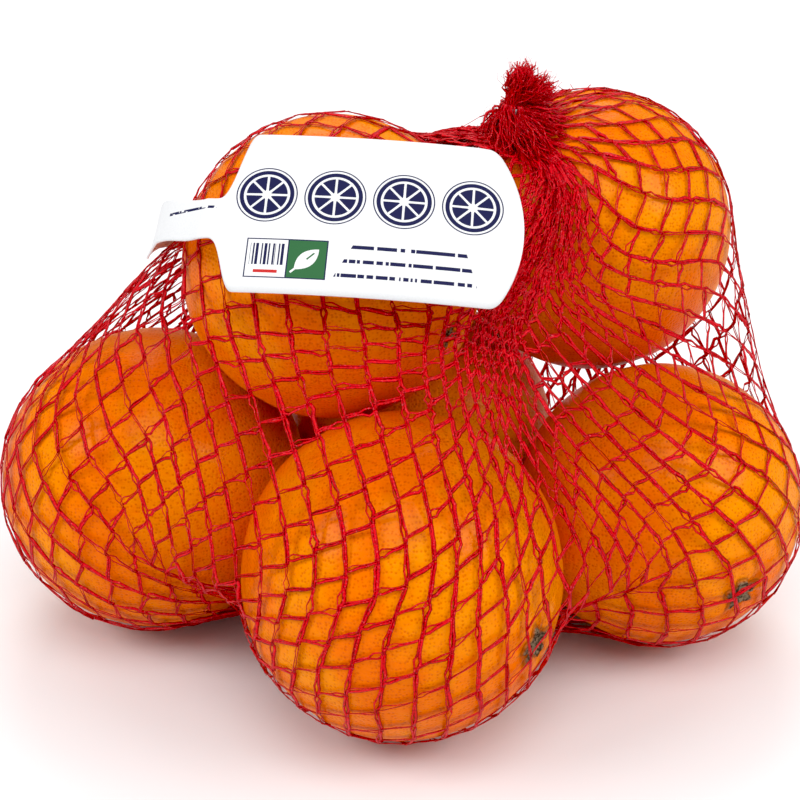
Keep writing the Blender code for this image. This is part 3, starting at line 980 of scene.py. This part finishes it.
print(f"threads: {WIDE_THREAD / MM:.2f} and {FINE_THREAD / MM:.2f} mm wide")


# %% Netting finish
def netting_finish(name, fold_shade, glinting):
    """Red plastic thread, with painted shade at its edges and in its folds and painted glints on
    its face.
    """
    red = Finish(name, Coat_Roughness=0.18, Specular_IOR_Level=0.10)
    spot = red.place()
    edge, shade = red.marked("edge"), red.marked("shade")
    fibres = red.cloud(spot, 0.45 * MM, detail=3.0, roughness=0.7)
    # Painted shade: the thread darkens towards its side edges.
    body = red.tint(edge, paint(220, 3, 14), paint(142, 0, 4))
    body = red.tint(red.step(fibres + (shade - 0.5) * 0.3, 0.35, 0.70) * 0.6, body,
                    paint(240, 16, 40))
    # Painted shade in the thread's folds: soft patches darkened towards deep red.
    fold = red.step(red.cloud(spot, 0.70 * MM, detail=2.0), 0.52, 0.66)
    body = red.tint(fold * fold_shade, body, paint(134, 0, 8))
    # Painted glints: small spots of the colour are lifted towards pale pink, as highlights on the
    # thread's face.
    glint = red.step(red.cloud(spot, 0.34 * MM, detail=1.0), 0.62, 0.70)
    body = red.tint(glint * glinting, body, paint(252, 130, 144))
    red.feed(Base_Color=body, Roughness=0.42 - glint * 0.2, Coat_Weight=0.08,
             Normal=red.relief(fibres, 0.10 * MM, 0.7))
    return red.material


NETTING = netting_finish("red_netting", fold_shade=0.6, glinting=0.35)
print("netting finish:", len(NETTING.node_tree.nodes), "nodes")

# %% Knit the netting, belt by belt
BELTS = 5
thread_rng = np.random.default_rng(11)
edges_of_belts = [round(ROWS * part / BELTS) for part in range(BELTS + 1)]
for belt, (first_row, last_row) in enumerate(zip(edges_of_belts, edges_of_belts[1:])):
    mesh = knit(side_table(first_row, last_row), thread_rng).mesh(f"netting_{belt + 1}")
    add_piece(mesh, NETTING, "filled_net")
    print(f"{mesh.name}: {2 * len(mesh.polygons)} triangles")

# %% [markdown]
# ## The ties
# Past each band the tube's cut end frays. Its threads run through the band in a tight
# bundle and then spring apart in a fan. Above the upper band some fold back over it, so
# that the metal hardly shows, and below it the gathered netting bulges in small loops with
# loose hairs. Each thread is a curve that leaves the bundle straight and then bends and
# ripples more the further it goes.

# %% Helpers for loose threads
# The fringe has less painted shade in its folds and more painted glints than the netting.
FRINGE = netting_finish("red_fringe", fold_shade=0.25, glinting=0.45)


def across_axes(axis):
    """Two directions at right angles to an axis: to its right and to its back."""
    right = unit(np.cross((0, 1, 0), axis))
    return right, np.cross(axis, right)


def along_thread(steps):
    """0 to 1 along a thread, as an array that spreads over threads and coordinates."""
    return np.linspace(0, 1, steps)[None, :, None]


def any_sideways(aim, rng):
    """A random direction at right angles to each thread's aim."""
    return unit(np.cross(aim, rng.standard_normal(aim.shape)))


print("fringe finish:", len(FRINGE.node_tree.nodes), "nodes")


# %% Threads that spring out of a tie
STEM = 4.5 * MM


def fan(threads, base, axis, heading, rng, count, reach, half_width, ripple):
    """Threads from a bundle at base. Heading gives each its direction and its length."""
    right, back = across_axes(axis)
    share = along_thread(9)
    ring = rng.uniform(0, FULL_TURN, count)
    spread = TIE_RADIUS * np.sqrt(rng.random(count))
    root = (base + np.outer(spread * np.cos(ring), right)
            + np.outer(spread * np.sin(ring), back))[:, None, :]
    lean, tip, length = heading(rng, count)
    aim = unit(np.outer(np.cos(lean) * np.cos(tip), axis)
               + np.outer(np.sin(lean) * np.cos(tip), right)
               + np.outer(np.sin(tip), back))[:, None, :]
    length = length[:, None, None] * reach
    straight = np.minimum(share * length, STEM)
    beyond = np.maximum(share * length - STEM, 0)
    sway = any_sideways(aim, rng)
    curl = ripple * np.sin(share * rng.uniform(7, 18, (count, 1, 1))
                           + rng.uniform(0, 6, (count, 1, 1))) * share
    path = root + straight * axis + beyond * aim + curl * sway
    taper = half_width * rng.uniform(0.6, 1.3, (count, 1)) * (1 - 0.6 * share[..., 0] ** 4)
    threads.add(path, unit(np.cross(aim, sway)), taper, half_width * 0.3, rng)


def top_heading(rng, count):
    """Two lobes: a tall one that leans a little right, and a low one far to the right."""
    low_lobe = rng.random(count) < 0.36
    lean = np.where(low_lobe, rng.normal(0.98, 0.16, count), rng.normal(0.16, 0.24, count))
    length = np.where(low_lobe, 1.0, 0.98 - 0.35 * np.abs(lean - 0.2))
    return lean, rng.normal(0, 0.22, count), length * rng.uniform(0.72, 1.0, count)


def foot_heading(rng, count):
    """An even brush on all sides."""
    return rng.normal(0, 0.5, count), rng.normal(0, 0.5, count), rng.uniform(0.7, 1.0, count)


top_lean = top_heading(np.random.default_rng(1), 200)[0]
print(f"the upper fan leans {math.degrees(top_lean.mean()):.0f} degrees on average")


# %% Hairs, folded-back ends and loops round the top tie
FLAT_END = 0.07 * MM


def ruffle(threads, rng, count):
    """Short ends that stand off the gathered netting just below the tie."""
    row = rng.integers(0, 4, count)
    column = rng.integers(0, COLUMNS, count)
    share = along_thread(6)
    aim = unit(out[row, column] + 0.9 * rng.standard_normal((count, 3)))[:, None, :]
    sway = any_sideways(aim, rng)
    length = rng.uniform(1.0, 2.8, (count, 1, 1)) * MM
    bend = rng.uniform(0, 1.4, (count, 1, 1)) * MM
    path = knots[row, column][:, None, :] + share * length * aim + share ** 2 * bend * sway
    half = rng.uniform(0.08, 0.20, (count, 1)) * MM
    threads.add(path, unit(np.cross(aim, sway)), half, half * 0.4, rng)


def fold_back(threads, rng, count):
    """Ends that leave the bundle above the band and hang down over it."""
    right, back = across_axes(NECK_LEAN)
    turn = rng.uniform(0, FULL_TURN, count)
    away = (np.outer(np.cos(turn), right) + np.outer(np.sin(turn), back))[:, None, :]
    half_band = (band_high.z - band_low.z) / 2
    band_reach = (band_high.x - band_low.x) / 2
    share = along_thread(8)
    bend = share * math.pi * rng.uniform(0.75, 0.95, (count, 1, 1))
    drop = rng.uniform(2.5, 5.0, (count, 1, 1)) * MM
    height = half_band + 1.2 * MM * np.sin(bend) - drop * share ** 2 * 1.5
    reach = (TIE_RADIUS + (band_reach + 0.4 * MM - TIE_RADIUS) * np.sin(bend / 2) ** 0.6
             + rng.uniform(0, 0.5, (count, 1, 1)) * MM * share)
    path = neck + NECK_LEAN * height + away * reach
    half = rng.uniform(0.25, 0.5, (count, 1)) * MM
    threads.add(path, away, half, FLAT_END, rng)


def frill(threads, rng, count, half_width, bulge, shortest, longest):
    """Loops of gathered netting that bulge out round the tie, just below the band."""
    spread = np.linalg.norm(np.roll(knots[3], -1, axis=0) - knots[3], axis=1)
    column = rng.choice(COLUMNS, count, p=spread / spread.sum())
    root = knots[0, column]
    aim = unit(knots[2, column] - root + rng.normal(0, 2.5, (count, 3)) * MM)[:, None, :]
    share = along_thread(8)
    sway = any_sideways(aim, rng)
    lift = unit(out[1, column] + 0.35 * rng.standard_normal((count, 3)))[:, None, :]
    length = rng.uniform(shortest, longest, (count, 1, 1))
    swell = np.sin(math.pi * share ** 0.7) * rng.uniform(0.2, 1.0, (count, 1, 1)) * bulge
    curl = 0.8 * MM * np.sin(share * rng.uniform(5, 13, (count, 1, 1))
                             + rng.uniform(0, 6, (count, 1, 1))) * share
    path = root[:, None, :] + share * length * aim + swell * lift + curl * sway
    push_out(path, THREAD_CLEARANCE)
    half = half_width * rng.uniform(0.6, 1.3, (count, 1))
    threads.add(path, unit(np.cross(aim, sway)), half, half * 0.35, rng)


print(f"an end that folds back is {2 * FLAT_END / MM:.2f} mm thick")


# %% The two frays
tuft_rng = np.random.default_rng(23)
tuft = Threads()
bundle_foot = neck - NECK_LEAN * 2 * MM
fan(tuft, bundle_foot, NECK_LEAN, top_heading, tuft_rng,
    count=380, reach=16.5 * MM, half_width=0.38 * MM, ripple=1.3 * MM)
fan(tuft, bundle_foot, NECK_LEAN, top_heading, tuft_rng,
    count=220, reach=18.0 * MM, half_width=0.08 * MM, ripple=1.5 * MM)
fold_back(tuft, tuft_rng, count=70)
frill(tuft, tuft_rng, count=520, half_width=0.30 * MM, bulge=3.4 * MM,
      shortest=5 * MM, longest=15 * MM)
frill(tuft, tuft_rng, count=160, half_width=0.08 * MM, bulge=5.5 * MM,
      shortest=4 * MM, longest=15 * MM)
ruffle(tuft, tuft_rng, count=120)
add_piece(tuft.mesh("top_fray"), FRINGE, "top_tuft")

under = Threads()
fan(under, foot_tie + np.array([0, 0, 1.5 * MM]), np.array([0, 0, -1.0]), foot_heading,
    tuft_rng, count=150, reach=11 * MM, half_width=0.34 * MM, ripple=0.5 * MM)
add_piece(under.mesh("bottom_fray"), FRINGE, "bottom_tuft")
for where, fray in (("top", tuft), ("foot", under)):
    print("fray at the", where + ":", 2 * sum(len(part) for part in fray.quads), "triangles")

# %% [markdown]
# ## The bands
# The bands are strips of light metal crimped round the netting. The packed model's own
# solids have the right shape, so they stay and only get a finish: rolled metal with fine
# scratches along the strip.

# %% Band finish
def band_finish():
    metal = Finish("rolled_metal", Base_Color=paint(196, 198, 202), Metallic=1.0)
    spot = metal.place()
    stretched = metal.node("Mapping", {}, {"Vector": spot, "Scale": (1.0, 1.0, 9.0)})
    scratch = metal.cloud(stretched, 1.2 * MM, detail=4.0)
    metal.feed(Roughness=0.24 + scratch * 0.25, Normal=metal.relief(scratch, 0.04 * MM, 0.5))
    return metal.material


BAND_METAL = band_finish()
for node in ("top_band", "bottom_band"):
    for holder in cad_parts[node].material_slots:
        holder.material = BAND_METAL
print("bands keep their solids")

# %% [markdown]
# ## The tag
# The tag is one long strip of white card. Its panel lies against the upper left orange with
# a blunt nose at its right end. At its left it narrows to a strap that goes round the pack
# and under it, to the bottom tie. It is a ruled surface: a list of stations along the
# strip, each with a point, a facing and an upper and lower edge. The mesh keeps the
# distance along and across the card on its points, so that the print can be laid out in
# card measures and bends with it. Only the front is printed: the sheet is given its
# thickness by a modifier, which puts a second, plain finish on the back.

# %% The strip's edges
TAG_OFFSET = Vector((9.8 * MM, -33.6 * MM, 26.6 * MM))
TAG_TILT = math.radians(50.7)
TAG_ROLL = math.radians(-4.3)
TAG_BEND_RADIUS = 330 * MM
PANEL_RIGHT = 36.7 * MM
PANEL_LEFT = -38.4 * MM
PANEL_HALF = 21.2 * MM
NOSE_LENGTH, NOSE_STEPS = 9 * MM, 26
LEVEL_STEPS, SHOULDER_STEPS = 22, 25
CORNER_BLEND = 3 * MM
NOSE_RADIUS = 37 * MM
NOSE_MIDDLE = -1.5 * MM
SHOULDER = 8.8 * MM
SHOULDER_STAGGER = 2.0 * MM
STRAP_HALF, STRAP_END_HALF = 5.25 * MM, 2.8 * MM
STRAP_MIDDLE = -1.95 * MM


def ease(share):
    """0 to 1 with slow ends, which make the rounded corners of the shoulder."""
    share = min(1.0, max(0.0, share))
    return share ** 3 * (share * (share * 6 - 15) + 10)


def soft_min(a, b, blend):
    """The smaller of two lengths, with a rounded change from one to the other."""
    mix = max(blend - abs(a - b), 0) / blend
    return min(a, b) - mix * mix * blend / 4


def panel_edges(along):
    """(top, foot) of the panel at a distance along it from its middle."""
    inset = PANEL_RIGHT - along
    nose = math.sqrt(max(0.0, (2 * NOSE_RADIUS - inset) * inset))
    edges = []
    for side, shoulder_end in ((1, PANEL_LEFT + SHOULDER_STAGGER), (-1, PANEL_LEFT)):
        strap = STRAP_HALF + side * STRAP_MIDDLE
        wide = soft_min(nose + side * NOSE_MIDDLE, PANEL_HALF, CORNER_BLEND)
        edges.append(side * (strap + (wide - strap) * ease((along - shoulder_end) / SHOULDER)))
    return edges


def panel_stations():
    """(point, facing, up, top, foot, along), from the nose to the strap."""
    outward = Vector((0.0, -math.cos(TAG_TILT), math.sin(TAG_TILT)))
    upward = outward.cross(Vector((1, 0, 0)))
    right = Vector((math.cos(TAG_ROLL), 0, 0)) + upward * math.sin(TAG_ROLL)
    up = outward.cross(right)
    middle = place["top_left"] + TAG_OFFSET
    nose_end = PANEL_RIGHT - NOSE_LENGTH
    shoulder_start = PANEL_LEFT + SHOULDER + SHOULDER_STAGGER
    near_nose = PANEL_RIGHT - NOSE_LENGTH * (np.arange(1, NOSE_STEPS) / NOSE_STEPS) ** 2
    level = np.linspace(nose_end, shoulder_start, LEVEL_STEPS)
    near_strap = np.linspace(shoulder_start, PANEL_LEFT, SHOULDER_STEPS)[1:]
    stations = []
    for along in np.concatenate([near_nose, level, near_strap]):
        turn = along / TAG_BEND_RADIUS
        point = (middle + right * (TAG_BEND_RADIUS * math.sin(turn))
                 + outward * (TAG_BEND_RADIUS * (math.cos(turn) - 1)))
        facing = outward * math.cos(turn) + right * math.sin(turn)
        stations.append((point, facing, up, *panel_edges(along), along))
    return stations


panel = panel_stations()
print(f"panel: {(PANEL_RIGHT - PANEL_LEFT) / MM:.1f} x {2 * PANEL_HALF / MM:.1f} mm,",
      len(panel), "stations")


# %% The strap's way round the pack
STRAP_CLEARANCE = 0.8 * MM
STRAP_STEPS = 12
STRAP_FREE_STRETCHES = 3
FACING_PASSES = 40
STRAP_ROUTE = [Vector(spot) * MM + heap_shift for spot in (
    (-58.7, 25.2, 127.0), (-64.0, 41.0, 117.0), (-61.7, 69.4, 109.2), (-51.7, 81.7, 99.0),
    (-42.7, 98.2, 68.0), (-40.7, 106.7, 42.0), (-38.7, 101.2, 17.0), (-34.2, 83.2, 3.5),
    (-29.7, 67.2, 2.5), (-26.3, 53.4, 6.5))]


def smooth_route(points, steps):
    """Catmull-Rom curve through points, with the given steps in each stretch."""
    ends = [points[0] * 2 - points[1], *points, points[-1] * 2 - points[-2]]
    curve = []
    for before, first, second, after in zip(ends, ends[1:], ends[2:], ends[3:]):
        for step in range(steps):
            t = step / steps
            curve.append(0.5 * (2 * first + (second - before) * t
                                + (2 * before - 5 * first + 4 * second - after) * t ** 2
                                + (3 * first - before - 3 * second + after) * t ** 3))
    return curve + [points[-1]]


def strap_stations(start):
    """The strap leaves the panel and lies against the packed bag's surface."""
    tree = solid_tree("filled_net")
    point, facing, _, _, _, along = start
    route = smooth_route([point, *STRAP_ROUTE], STRAP_STEPS)
    facings = [facing]
    for index in range(1, len(route)):
        surface, normal, *_ = tree.find_nearest(route[index])
        stretches = index / STRAP_STEPS
        landed = min(1.0, max(0.0, (stretches - 1) / STRAP_FREE_STRETCHES))
        route[index] = route[index].lerp(surface + normal * STRAP_CLEARANCE, landed)
        facings.append(facing.lerp(normal, min(1.0, stretches)).normalized())
    for _ in range(FACING_PASSES):
        facings = [facings[0], *(sum(facings[i - 1:i + 2], Vector()).normalized()
                                 for i in range(1, len(facings) - 1)), facings[-1]]
    stations, last = [], len(route) - 1
    for index in range(1, last + 1):
        ahead = route[min(index + 1, last)] - route[index - 1]
        up = ahead.cross(facings[index]).normalized()
        half = STRAP_HALF + (STRAP_END_HALF - STRAP_HALF) * ease(4 * index / last - 3)
        middle = STRAP_MIDDLE * (1 - ease(index / STRAP_STEPS))
        heights = []
        for part in (-half, -half / 2, 0.0, half / 2, half):
            spot = route[index] + up * (middle + part)
            surface, normal, *_ = tree.find_nearest(spot)
            heights.append((spot - surface).dot(normal))
        lift = max(0.0, STRAP_CLEARANCE - min(heights))
        along -= (route[index] - route[index - 1]).length
        stations.append((route[index] + facings[index] * lift, facings[index], up,
                         middle + half, middle - half, along))
    return stations


strap = strap_stations(panel[-1])
print(f"strap: {(PANEL_LEFT - strap[-1][-1]) / MM:.0f} mm long, {len(strap)} stations")


# %% Print: wheels and dashes
# The print is laid out in millimetres: u along the card and v up it, from the panel's middle.
NAVY, LEAF_GREEN, DASH_RED = paint(12, 15, 70), paint(46, 104, 60), paint(198, 40, 38)
BARE_CARD = paint(236, 237, 238)


def between(value, low, high):
    return (value > low) * (value < high)


def oblong(u, v, left, right, foot, top):
    """1 inside an upright rectangle, 0 outside it."""
    return between(u, left, right) * between(v, foot, top)


def roundels(card, u, v):
    """A row of cut-citrus wheels, each inside a thin ring."""
    pitch, first, height = 16.2, -24.3, 4.6
    across = card.wrap(u - first, pitch)
    rise = v - height
    reach = (across * across + rise * rise) ** 0.5
    heading = card.node("Math", {"operation": "ARCTAN2"}, {0: rise, 1: across})
    spoke = abs(card.node("Math", {"operation": "SINE"}, {0: heading * 4})) * reach * 0.25
    wheel = between(reach, 5.5, 6.5) + between(reach, 0.7, 4.9) * (spoke > 0.27)
    wheel = wheel + between(reach, 7.0, 7.3)
    return wheel * between(u, first - pitch / 2, -first + pitch / 2)


def small_print(card, u, v):
    """Three lines of dashes, and one on the strap."""
    row = card.node("Math", {"operation": "ROUND"}, {0: (v + 0.9) / 3.75})
    word = card.node("TexNoise", {"noise_dimensions": "2D"},
                     {"Vector": card.node("CombineXYZ", {}, {"X": u * 0.95, "Y": row * 7.3}),
                      "Scale": 1.0, "Detail": 0.0})
    lines = between(v + 0.9 - row * 3.75, -0.48, 0.48) * between(v, -17.5, -7.0)
    lines = lines * (u > v * 0.46 + 0.8) * (u < 20.9 - v * 0.34)
    return (lines + oblong(u, v, -50.5, -36.0, 0.7, 1.4)) * (word > 0.36)


print("inks, in linear light:", [[round(part, 3) for part in ink] for ink in (NAVY, LEAF_GREEN)])


# %% Print: the framed boxes, and the card's two finishes
def framed_boxes(card, u, v, face):
    """A bare box with upright bars over a dash, and a green one with a leaf."""
    length = (u + v + 25.5) * 0.71
    width = abs(v - u - 1.0) * 0.71
    leaf = (width < 1.9 - length * length * 0.13) + (width < 0.25) * between(length, -5.0, 0)
    rib = (width < 0.2) * between(length, -3.4, 2.4)
    upright = card.node("TexNoise", {"noise_dimensions": "1D"},
                        {"W": u * 1.5, "Scale": 1.0, "Detail": 1.0})
    bars = (upright > 0.5) * oblong(u, v, -26.6, -18.6, -14.0, -8.4)
    leaf = card.node("Clamp", {}, {"Value": leaf - rib})
    for mask, ink in ((oblong(u, v, -27.6, -8.5, -17.4, -7.1), NAVY),
                      (oblong(u, v, -27.3, -17.9, -17.1, -7.4), BARE_CARD),
                      (bars, NAVY),
                      (oblong(u, v, -25.4, -19.8, -16.1, -15.3), DASH_RED),
                      (oblong(u, v, -17.6, -8.8, -17.1, -7.4), LEAF_GREEN),
                      (leaf, BARE_CARD)):
        face = card.tint(mask, face, ink)
    return face


def card_finish(printed):
    """White card, printed or plain."""
    card = Finish("printed_card" if printed else "card_back", Coat_Roughness=0.3,
                  Specular_IOR_Level=0.2)
    grain = card.cloud(card.place(), 0.5 * MM, detail=4.0)
    face = card.tint(grain, paint(228, 229, 231), paint(240, 241, 242))
    if printed:
        u, v = card.marked("along") * (1 / MM), card.marked("across") * (1 / MM)
        face = framed_boxes(card, u, v, face)
        ink = card.node("Clamp", {}, {"Value": roundels(card, u, v) + small_print(card, u, v)})
        face = card.tint(ink, face, NAVY)
    card.feed(Base_Color=face, Roughness=0.50 + grain * 0.1, Coat_Weight=0.05,
              Normal=card.relief(grain, 0.03 * MM, 0.4))
    return card.material


FRONT, BACK = card_finish(True), card_finish(False)
print("card:", len(FRONT.node_tree.nodes), "nodes in front,", len(BACK.node_tree.nodes), "behind")


# %% The strip itself
TAG_COLUMNS = 17
SHEET = 0.5 * MM


def tag_mesh(stations):
    points, along, across = [], [], []
    for point, _, up, top, foot, distance in stations:
        for column in range(TAG_COLUMNS):
            height = foot + (top - foot) * column / (TAG_COLUMNS - 1)
            points.append(point + up * height)
            along.append(distance)
            across.append(height)
    row = np.arange(len(stations) - 1)[:, None] * TAG_COLUMNS
    column = np.arange(TAG_COLUMNS - 1)[None, :]
    corner = row + column
    quads = np.stack([corner, corner + 1, corner + TAG_COLUMNS + 1, corner + TAG_COLUMNS],
                     axis=-1).reshape(-1, 4)
    return mesh_from_arrays("card_tag", np.array(points), quads, along=along, across=across)


tag = add_piece(tag_mesh(panel + strap), FRONT, "tag")
tag.data.materials.append(BACK)
stiffener = tag.modifiers.new("card_thickness", "SOLIDIFY")
stiffener.material_offset = 1
stiffener.thickness = SHEET
stiffener.offset = 0
print("tag:", len(tag.data.polygons), "faces")

# %% [markdown]
# The finished pieces have to stay within the packed model's box, give or take loose
# ends.
